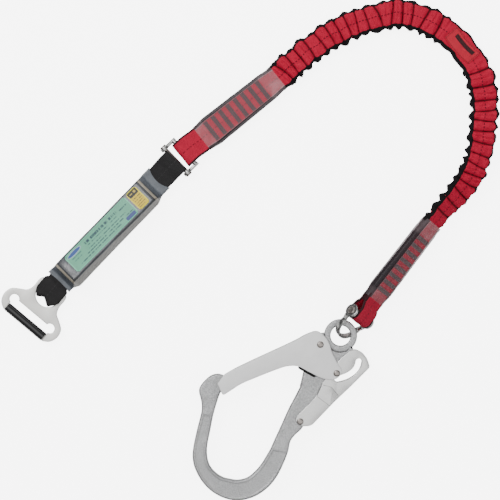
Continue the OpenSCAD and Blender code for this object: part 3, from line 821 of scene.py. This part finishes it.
def clear_tube(name, node, length, warp):
    """Tube shrunk on the stack: slack beside the webbing, drawn in at its two cut ends."""
    skin, far = Skin(), length + 5
    for i in range(131):
        x = between(tube_start, far, i / 130)
        along = (x - tube_start) / (far - tube_start)
        start, finish = ease(x, tube_start + 16, tube_start), ease(x, far - 18, far)
        half_w = between(17.6, 15.8, along) - 1.9 * start - 1.2 * finish
        half_t = 5.6 - 0.5 * start + 0.3 * finish
        crumple = 0.25 + 1.1 * finish
        rim = max(0.65 * ease(x, tube_start + 13, tube_start + 10), ease(x, far - 21, far - 16))
        skin.rings.append([])
        for a, b in flat_section(half_w, half_t, 4.0, 14, 6):
            ripple = crumple * noise.noise(vec(x * 0.16, a * 0.22, 3.0 + (b > 0)))
            pull = 0.6 * crumple * noise.noise(vec(x * 0.11, 5.0, 1.0 + (a > 0)))
            # The last value grows towards the slack sides, where the tube's material paints shade.
            skin.add(warp(vec(x, a * (1 + pull / half_w), b * (1 + ripple / half_t))),
                     rim=rim, fin=abs(a) / half_w)
    skin.made(name, clear_vinyl, "strap", caps=False, smooth_angle=60, node=node)


dark_thread, clear_vinyl = thread_look(), tube_look()
for end, bar_r, length, warp in (("link", link_bar_r, link_stack_len, link_warp),
                                 ("hook", bush_r, hook_stack_len, hook_warp)):
    strap_end(end + "_end", bar_r, length, warp)
    bar_tack_rows(end + "_end_tacks", end + "_bar_tacks", length, warp)
    clear_tube(end + "_end_sleeve", end + "_end_tube", length, warp)


# ---------- Link ----------

rounded_copy("link_bow", "link_shackle", 0.35, bright_steel, "link", 2)
rounded_copy("link_cross_pin", "link_pin", 0.4, rivet_steel, "link", 2)


# ---------- Absorber ----------

def absorber_warp(p):
    slack = (1.6 - 1.3 * p.y / webbing_half) * ease(p.x, -6, 3)
    heading = math.radians(between(link_heading, absorber_heading, ease(-p.x - slack, 4, 22)))
    return headed(link_pin_at, heading, vec(p.x + slack, p.y, p.z))


def upper_band():
    """Black webbing from inside the pouch round the link's pin and back."""
    mid_r = link_bar_r + 0.08 + 1.1

    def half(p):
        return between(webbing_half, 14, ease(-p[0], 14, 40))

    tail = [(-46, 1.15), (-24, 1.15), (-16, 1.3), (-10, mid_r * 0.85), (-5, mid_r)]
    loop = (tail + [(-x, z) for x, z in arc(0, 0, mid_r, range(75, -76, -15))]
            + [(x, -z) for x, z in reversed(tail)])
    ribbon("upper_band", smooth(loop, 6), half, 2.2, black_webbing, "absorber", absorber_warp,
           "upper_loop")


def lower_band():
    """Round the plate's rim: spread flat above and below the plate, drawn in through the hole."""

    def half(p):
        spread = ease(abs(p[1]), 2.8, 4.2)
        round_end = math.sqrt(max(9.0, 12.6 ** 2 - min(0, p[0] - 38.5) ** 2))
        free = between(min(12.3, round_end), 15.4, spread * ease(p[0], 31, 40))
        return between(free, 14, ease(p[0], 52, 64))

    tail = [(74, 1.15), (64, 1.15), (58, 1.7), (53.5, 3.9), (50, 4.5), (42, 4.5)]
    loop = tail + arc(34, 0, 4.5, range(90, 271, 15)) + [(x, -z) for x, z in reversed(tail)]

    def fold(p):
        notch = 5.5 * max(0.0, 1 - abs(p.y - 1.8) / 8.5) * ease(p.x, 44, 34)
        return plate_place @ vec(p.x + notch, p.y, p.z)

    ribbon("lower_band", smooth(loop, 6), half, 2.0, black_webbing, "absorber", fold, "lower_loop")


# Along the pouch, X runs from its mouth at the link to its end at the plate.
mouth_x, end_x, full_x, full_end_x = -26, -186, -49, -171
flat_half_t, full_half_t = 2.95, 10.7


def pouch_part(x):
    """0 where the pouch is first full, and 1 where it starts to close."""
    return min(1, max(0, (full_x - x) / (full_x - full_end_x)))


def pouch_station(x):
    """Half width, half height, centre height, roll and corner radius of the pouch at x."""
    full = min(ease(x, -37, full_x), ease(x, -181, full_end_x)) ** 0.8
    roll = between(16, 24, pouch_part(x))
    return (between(16.0, 15.8, full), between(flat_half_t, full_half_t, full), pack_lift * full,
            -roll * full, between(1.6, 2.6, full))


def pouch_point(x, a, b):
    half_w, half_t, lift, roll, _ = pouch_station(x)
    tilt = math.radians(roll)
    return vec(x, a * math.cos(tilt) - b * math.sin(tilt) + pack_y * lift / pack_lift,
               lift + a * math.sin(tilt) + b * math.cos(tilt))


def pouch():
    """The welded cover: flat at both mouths, full over the folded pack between them."""
    skin, count = Skin(), 170
    for i in range(count + 1):
        x = between(mouth_x, end_x, i / count)
        half_w, half_t, _, _, corner = pouch_station(x)
        full = (half_t - flat_half_t) / (full_half_t - flat_half_t)
        waist = 1 - 0.018 * full * math.sin(math.pi * pouch_part(x))
        skin.rings.append([])
        for a, b in flat_section(half_w, half_t, corner, 16, 5):
            hump = 1 - (a / half_w) ** 2
            scoop = hump * (5.0 * ease(x, -42, mouth_x) - 1.2 * ease(x, -178, end_x))
            soft = noise.noise(vec(x * 0.055, a * 0.09, 1.0 + b * 0.06))
            crown = 0.35 * hump * full * (1 if b > 0 else -1)
            p = pouch_point(x, a * waist + 0.25 * soft * full,
                            b + crown + 0.3 * soft * full * (b > 0))
            p.x -= scoop
            on_side = abs(b) < half_t - corner * 0.7 and full > 0.5
            skin.add(absorber_warp(p), s=p.x, u=a, b=b, top=full if b > half_t - 2 else 0.0,
                     side=1.0 if on_side else 0.0)
    skin.made("pouch", vinyl_look(), "absorber", caps=False, smooth_angle=60,
              node="absorber_cover")


def film_label(name, node, middle, length, width, material):
    """A label with round corners on the pouch's upper face, which follows its crown."""
    corner, skin = 3, Skin()
    ends = [corner - corner * math.cos(math.radians(k * 15)) for k in range(7)]
    inner = [corner + (length - 2 * corner) * k / 24 for k in range(1, 24)]
    for along in ends + inner + [length - e for e in reversed(ends)]:
        x = along - length / 2
        past = max(0, abs(x) - (length / 2 - corner))
        inset = corner - math.sqrt(max(0, corner ** 2 - past ** 2))
        skin.rings.append([])
        for a, b in flat_section(width / 2 - inset, 0.2, 0.15, 14, 1):
            crown = 0.35 * (1 - (a / 15.8) ** 2)
            skin.add(absorber_warp(pouch_point(pack_x + middle + x, a, 11.1 + crown + b)), s=x, u=a)
    skin.made(name, material, "absorber", node=node)


upper_band()
lower_band()
pouch()
film_label("green_print", "rating_label", -5.8, 94, 24.8, label_look(
    "green_label", (0.120, 0.40, 0.26), (0.008, 0.045, 0.07), (47, 12.4),
    [(6.4, 1.8, -20, 29, 1.1), (2.4, 0.7, -18, 26, 1.3), (-1.6, 0.7, -22, 36, 1.7),
     (-4.8, 0.8, -26, 30, 2.2), (-8.0, 0.8, -38, 24, 2.6), (3.2, 0.6, -42, -28, 1.2),
     (-0.6, 0.6, -42, -30, 1.2), (4.6, 1.0, 32, 44, 1.1), (-5.4, 0.7, 34, 44, 1.5)],
    [(-35, 8, 10, 2.9, 2.0, (0.42, 0.55, 0.60)), (-35, 8, 9.2, 2.2, 2.0, (0.035, 0.09, 0.30)),
     (38, -9.2, 6.6, 2.3, 6.0, (0.030, 0.06, 0.22))]))
film_label("yellow_print", "caution_label", 50.7, 14.4, 24.8, label_look(
    "yellow_label", (0.70, 0.50, 0.012), (0.05, 0.035, 0.005), (7.2, 12.4),
    [(1.8, 0.8, -5.5, 5.5, 1.0), (-1.4, 0.6, -5.5, 5.5, 1.3), (-4.2, 0.6, -5.5, 5.5, 1.1),
     (-7.0, 0.6, -5.5, 5.5, 1.2), (-9.6, 0.5, -5.5, 5.5, 1.0)],
    [(0, 8.2, 6.2, 3.7, 8.0, (0.012, 0.011, 0.009)), (2.6, 8.4, 1.6, 1.6, 2.0, (0.50, 0.36, 0.04)),
     (-2.4, 8.2, 1.8, 0.6, 8.0, (0.50, 0.36, 0.04))]))
repaint(black_webbing, "tear_webbing")


# ---------- Harness plate ----------

def plate_piece():
    """The forged plate round its slot and webbing hole, and the bar that carries the sleeve."""
    half = smooth([(-4.4, 26.5), (-3.8, 29), (0, 34.5), (6, 37.6), (12.5, 38), (19, 35.4),
                   (24, 28.5), (28.5, 21.5), (36, 18.5), (45, 18.5), (50, 17), (51.8, 13)], 6)
    side = [(5.8, -26.5)] + arc(11.5, -25.3, 5.4, range(192, 435, 11)) + [(13, -18)]
    hole = (arc(38.5, 0, 13.5, range(90, 271, 6))
            + [(45.5, -13.5), (47.2, -11.8), (47.2, 11.8), (45.5, 13.5)])
    outline = (half + [(x, -y) for x, y in reversed(half)] + side
               + [(x, -y) for x, y in reversed(side)])
    slab("plate", [outline, hole], -2, 2, 0.7, plate_alloy, "plate", plate_place, "harness_plate")
    rod = [(0, -26.9), (3.2, -26.9), (3.5, -26.6), (3.5, 26.6), (3.2, 26.9), (0, 26.9)]
    lathe("plate_bar", rod, plate_alloy, "plate", plate_place @ AXIS_TO_Y, 40)


plate_piece()


def roller():
    """The black sleeve, with chamfered square ends and a barely waisted middle."""
    half, r, bore = 26.3, 5, 3.6
    profile = [(bore, -half), (r - 0.5, -half), (r, -half + 0.5), (r, -half + 3), (r - 0.05, 0),
               (r, half - 3), (r, half - 0.5), (r - 0.5, half), (bore, half), (bore, -half)]
    lathe("roller_sleeve", profile, black_plastic, "roller", plate_place @ AXIS_TO_Y, 64,
          "bar_sleeve")


roller()


# ---------- Strap shackle ----------

rounded_copy("shackle_strip", "strap_shackle", 0.5, bright_steel, "shackle")
repaint(bright_steel, "pin_bush")


def shackle_pin_piece():
    """The pin across the strap's eye: a head at one end, and a burred end at the other."""
    half = webbing_half + 1.2 + 3 + 0.1
    profile = [(0, -half - 1.2), (3.2, -half - 1.2), (4.2, -half - 0.6), (4.2, -half), (3.2, -half),
               (3.2, half), (4.2, half), (4.2, half + 0.6), (3.4, half + 1.2), (2.6, half + 1.2),
               (2.3, half + 0.8), (0, half + 0.7)]
    lathe("cross_pin", profile, rivet_steel, "shackle", shackle_place @ AXIS_TO_Y, 40,
          "shackle_pin")


shackle_pin_piece()


# ---------- Hook ----------

def at_hook(x, y):
    return Matrix.Translation(vec(x, y, hook_z))


# Matching points on the outside and the inside of the forged bowl, from nose to gate.
bowl_pairs = [
    (3.5, -99.0, 6.6, -103.0), (-2, -97.8, 6.4, -108), (-9, -99.5, 4, -114),
    (-15.5, -104.5, 1.5, -118), (-21.5, -112, -0.5, -122.5), (-22.5, -118, -2, -127),
    (-20.5, -126, -4, -133.5), (-19.5, -134, -5.5, -139), (-20.5, -142, -7, -144.5),
    (-25, -160, -10, -160), (-29, -179, -13.3, -177), (-29.5, -191, -13.4, -188),
    (-26.5, -203, -11, -197.5), (-18.5, -217, -5.5, -205), (-7, -228, 3, -211),
    (7, -235, 12.5, -213.5), (22, -237, 21, -214.3), (39, -232.5, 31, -211.5),
    (53.5, -222.5, 40, -204), (63.5, -210, 46.5, -196), (71, -195, 52, -187),
    (75.5, -183, 56, -180), (78, -172, 60, -171), (83, -165, 64, -162.5),
    (89.5, -159, 69, -151.5), (94, -152, 73, -142.5), (98, -145.5, 77, -134),
    (101, -141, 80, -128.5), (107, -127, 86, -117), (112, -114, 89.5, -109.5),
    (117, -104, 91, -100), (121, -94, 94, -88),
]


def hook_bowl():
    """The forging: rounded flanks, and a shallow panel sunk round the bowl between two steps."""
    pairs = even_pairs(smooth(bowl_pairs, 8))
    first, last = nearest(pairs, -20.5, -142), nearest(pairs, 74, -184)
    rings = []
    for n, (ox, oy, ix, iy) in enumerate(pairs):
        outer, inner = vec(ox, oy, 0), vec(ix, iy, 0)
        width = (inner - outer).length
        sunk = min(ease(n, first - 1.2, first + 1.2), ease(n, last + 1.2, last - 1.2))
        cut = min(2.6, width * 0.42)
        ring = []
        for side in (1, -1):
            for k in range(31):
                t = k / 30 if side > 0 else 1 - k / 30
                d = min(t, 1 - t) * width
                round_off = 0 if d >= cut else 1 - math.sqrt(max(0, 1 - ((cut - d) / cut) ** 2))
                z = 6.5 - round_off * 2.6
                z -= 0.5 * sunk * ease(d, 2.9, 3.7)
                z += 0.06 * noise.noise(vec(ox * 0.2, oy * 0.2, t * 4))
                point = outer.lerp(inner, t)
                ring.append((point.x, point.y, side * z))
        rings.append(ring)
    points, faces = loft(rings)
    return made("hook_bowl", *loft(rings), forged_steel, "hook", where=hook_place,
                node="hook_body")


def even_pairs(pairs):
    """The pairs again at even steps of their middles."""
    run = [0.0]
    for a, b in zip(pairs, pairs[1:]):
        run.append(run[-1] + math.hypot((b[0] + b[2] - a[0] - a[2]) / 2,
                                        (b[1] + b[3] - a[1] - a[3]) / 2))
    out, j, count = [], 0, 380
    for i in range(count + 1):
        want = run[-1] * i / count
        while j < len(pairs) - 2 and run[j + 1] < want:
            j += 1
        part = (want - run[j]) / max(1e-9, run[j + 1] - run[j])
        out.append(tuple(p + (q - p) * part for p, q in zip(pairs[j], pairs[j + 1])))
    return out


def nearest(pairs, x, y):
    return min(range(len(pairs)), key=lambda n: math.hypot(pairs[n][0] - x, pairs[n][1] - y))


def ring_profile(inner, outer, half, corner):
    """The section of a ring with round corners, as (radius, height)."""
    out = []
    for x, z, start in ((outer - corner, half - corner, 0), (inner + corner, half - corner, 90),
                        (inner + corner, corner - half, 180), (outer - corner, corner - half, 270)):
        out += arc(x, z, corner, [start + 22.5 * k for k in range(5)])
    return out + [out[0]]


gate_pivot, lock_pin_at = (110.5, -65.5), (128.5, -97)
lever_pivot, eye_at = (88.5, -150), (133, -56)
# Distances from the hook's middle plane, for the forging and for the two pressed pieces.
body_half, lever_in, lever_out, gate_in, gate_out = 6.5, 6.9, 8.5, 8.9, 10.9

hook_bowl()
collar = arc(*eye_at, 17.9, range(-44, -192, -7))
head = round_corners([(88, -112), (108, -122), (122.1, -94.2), (132.2, -87.5), (141.5, -75)]
                     + collar + [(108, -53.5), (102, -56), (95, -84), (92, -97)],
                     [1, 6, 4, 8, 2] + [0.3] * len(collar) + [3, 8, 6, 4])
head_half = body_half - 0.06
slab("hook_head", [head], -head_half, head_half, 1.8, forged_steel, "hook", hook_place)
lathe("hook_eye", ring_profile(11, 18.2, 4.5, 1.6), forged_steel, "hook", at_hook(*eye_at), 96)
for sign, level in ((-1, "low"), (1, "high")):
    boss = [(0, 6), (5.6, 6), (5.6, 8.3), (5.3, 8.6), (0, 8.6)]
    lathe("gate_boss_" + level, [(r, z * sign) for r, z in boss], forged_steel, "hook",
          at_hook(*gate_pivot))


def rivet(name, node, at, grip, body, recess=False):
    """A rivet through both cheeks, with a round head at each end."""
    head = [(1.8, grip + 1.45), (2.9, grip + 1.1), (3.6, grip + 0.5), (3.7, grip)]
    profile = [(0, -grip - 1.5)] + [(r, -z) for r, z in head] + [(2.4, -grip), (2.4, grip)]
    profile += reversed(head)
    if recess:
        profile += [(1.3, grip + 1.4), (1.1, grip + 0.9), (0, grip + 0.85)]
    else:
        profile += [(0, grip + 1.5)]
    lathe(name, profile, rivet_steel, body, at_hook(*at), 40, node)


rivet("gate_hinge_rivet", "gate_rivet", gate_pivot, gate_out + 0.1, "hook", True)
rivet("lever_hinge_rivet", "lever_rivet", lever_pivot, lever_out + 0.1, "hook", True)
rivet("lock_rivet", "lock_pin", lock_pin_at, gate_out + 0.02, "gate")
guard = round_corners([(87.5, -88), (86.2, -91.6), (89, -93.6), (103.4, -101.8), (108.5, -100),
                       (98, -90)], 0.6, 2)
slab("spring_guard", [guard], -6.75, 6.75, 0.4, guard_plastic, "hook", hook_place, "spring_cover")
repaint(bright_steel, "gate_spring", "lever_spring")

gate_under = [(-2, -108), (2, -118), (5, -120.5), (12.5, -116), (24.5, -108.5), (41, -101.5),
              (60, -94), (74, -89.5), (86, -89.5), (97, -95), (110, -101.5), (119, -104),
              (128, -103), (134, -97), (133, -91)]
gate_over = [(131, -89), (124, -76), (119.5, -63), (113, -54.5), (106, -51), (95, -54.5),
             (83, -61), (65, -69.5), (41, -80.5), (17, -92), (5, -99)]
lever_outline = [(129, -85), (138, -76.5), (145, -71.5), (150, -71), (157, -74.5), (162, -81),
                 (164.5, -88.5), (164.5, -91), (144, -111.5), (126, -128.5), (102, -153.5),
                 (98.5, -155), (91, -155.5), (83, -149.5), (84, -145.5), (90.5, -138),
                 (101, -128.5), (108, -119.5), (112.5, -108.5), (115.5, -104), (121, -96)]
slot_line = [(129.5, -103.4), (137, -101.4), (143.5, -98.2), (148.6, -94), (151.6, -89),
             (152.8, -84.3)]
raised_outline = [(106.5, -122.5), (112.5, -109.5), (123, -112), (131, -122), (121, -133.2)]


def web_strip(name, line, half_z, turn_r, material, body):
    """Sheet bent across from one cheek to the other along a line, with rounded bends."""
    line = even(smooth(line, 6), 1.5)
    skin = Skin()
    for i, p in enumerate(line):
        q, r = beside(line, i)
        along = Vector((r[0] - q[0], r[1] - q[1])).normalized()
        outward = Vector((-along.y, along.x))
        skin.rings.append([])
        for a, b in flat_section(half_z, 0.9, 0.5, 4, 2):
            bend = max(0.0, abs(a) - (half_z - turn_r)) / turn_r
            give = turn_r * (1 - math.sqrt(max(0.0, 1 - min(1.0, bend) ** 2)))
            deep = give + 0.9 - b
            skin.add((p[0] + outward.x * deep, p[1] + outward.y * deep, a))
    skin.made(name, material, body, where=hook_place)


def cheek(name, outlines, inner, outer, round_off, material, body, node=None):
    """The same plate on the hook's high and low sides. The high one stands for the node."""
    for side, level in ((1, "high"), (-1, "low")):
        low, high = sorted((side * inner, side * outer))
        slab(f"{name}_{level}", outlines, low, high, round_off, material, body, hook_place,
             node if side > 0 else None)


def gate_piece():
    cheek("gate_cheek", [smooth(gate_under, 5) + smooth(gate_over, 5)], gate_in, gate_out, 0.65,
          gate_alloy, "gate", "gate")
    # The web gets the darker copy of the gate's metal as painted shade.
    web_strip("gate_web", [(105, -51.3), (95, -54.6), (83, -61.1), (65, -69.6), (41, -80.6),
                           (17, -92.1)], gate_out - 0.1, 2.2, gate_web_shaded, "gate")


def lever_piece():
    """Two cheeks with the lock slot, a pressed step on each, and the web at their right."""
    slot_half = 3.4
    left, right = [], []
    line = even(smooth(slot_line, 6), 1.2)
    for i, p in enumerate(line):
        q, r = beside(line, i)
        along = Vector((r[0] - q[0], r[1] - q[1])).normalized() * slot_half
        left.append((p[0] - along.y, p[1] + along.x))
        right.append((p[0] + along.y, p[1] - along.x))
    slot = (right[1:-1] + arc(*line[-1], slot_half, range(0, 181, 20))
            + list(reversed(left[1:-1])) + arc(*line[0], slot_half, range(100, 281, 20)))
    cheek("lever_cheek", [round_corners(lever_outline, 2.5, 4), slot], lever_in, lever_out, 0.5,
          lever_alloy, "lever", "lock_lever")
    cheek("lever_panel", [round_corners(raised_outline, 2.0, 4)], lever_out - 0.3,
          lever_out + 0.55, 0.5, lever_alloy, "lever")
    web_strip("lever_web", [(101.5, -153.6), (113, -142), (126, -128.5), (144, -111.5),
                            (164, -91.5)], lever_out - 0.1, 1.6, lever_alloy, "lever")


gate_piece()
lever_piece()


# ---------- Stage and light ----------

def floor():
    look = Look("stage_floor", Roughness=0.9)
    faint = look.grain(300, 2)
    path = look.tree.nodes.new("ShaderNodeLightPath")
    seen = Val(look.tree, path.outputs["Is Camera Ray"])
    look.set(Base_Color=look.mix(faint, (0.88, 0.88, 0.88), (0.91, 0.91, 0.91)),
             Emission_Color=(1.0, 1.0, 1.0), Emission_Strength=seen * 6.0)
    corners = ((-4, -4, 0), (4, -4, 0), (4, 4, 0), (-4, 4, 0))
    mesh = bpy.data.meshes.new("floor")
    mesh.from_pydata(corners, [], [(0, 1, 2, 3)])
    mesh.materials.append(look.material)
    obj = add_object("floor", mesh)
    obj.location.z = -0.0005


def area_light(name, place, size, power):
    light = bpy.data.lights.new(name, "AREA")
    light.shape, light.size, light.size_y = "RECTANGLE", *size
    light.energy = power
    obj = add_object(name, light)
    obj.location = place
    aim(obj, (0.03, 0.04, 0))


floor()
world = bpy.data.worlds.new("studio")
bpy.context.scene.world = world
world.use_nodes = True
sky = world.node_tree


def studio_sky():
    """Bright overhead, dim towards the horizon, with a soft dark gap between two softboxes."""
    coord = sky.nodes.new("ShaderNodeTexCoord")
    split = sky.nodes.new("ShaderNodeSeparateXYZ")
    sky.links.new(coord.outputs["Generated"], split.inputs[0])
    across, up = Val(sky, split.outputs[0]), Val(sky, split.outputs[2])
    gap = (across - 0.32).abs().step(0.02, 0.22)
    level = 0.05 + up.step(0.1, 0.9) * 0.47 + up.step(0.80, 0.97) * gap * 1.5
    put(sky, sky.nodes["Background"].inputs["Strength"], level)
    sky.nodes["Background"].inputs["Color"].default_value = (1, 1, 1, 1)


studio_sky()
area_light("key", (-0.9, 0.9, 1.5), (0.8, 0.8), 22)
area_light("fill", (1.2, -0.4, 1.3), (1.2, 1.2), 6)
area_light("rim", (0.2, 1.6, 0.7), (1.6, 0.5), 5)
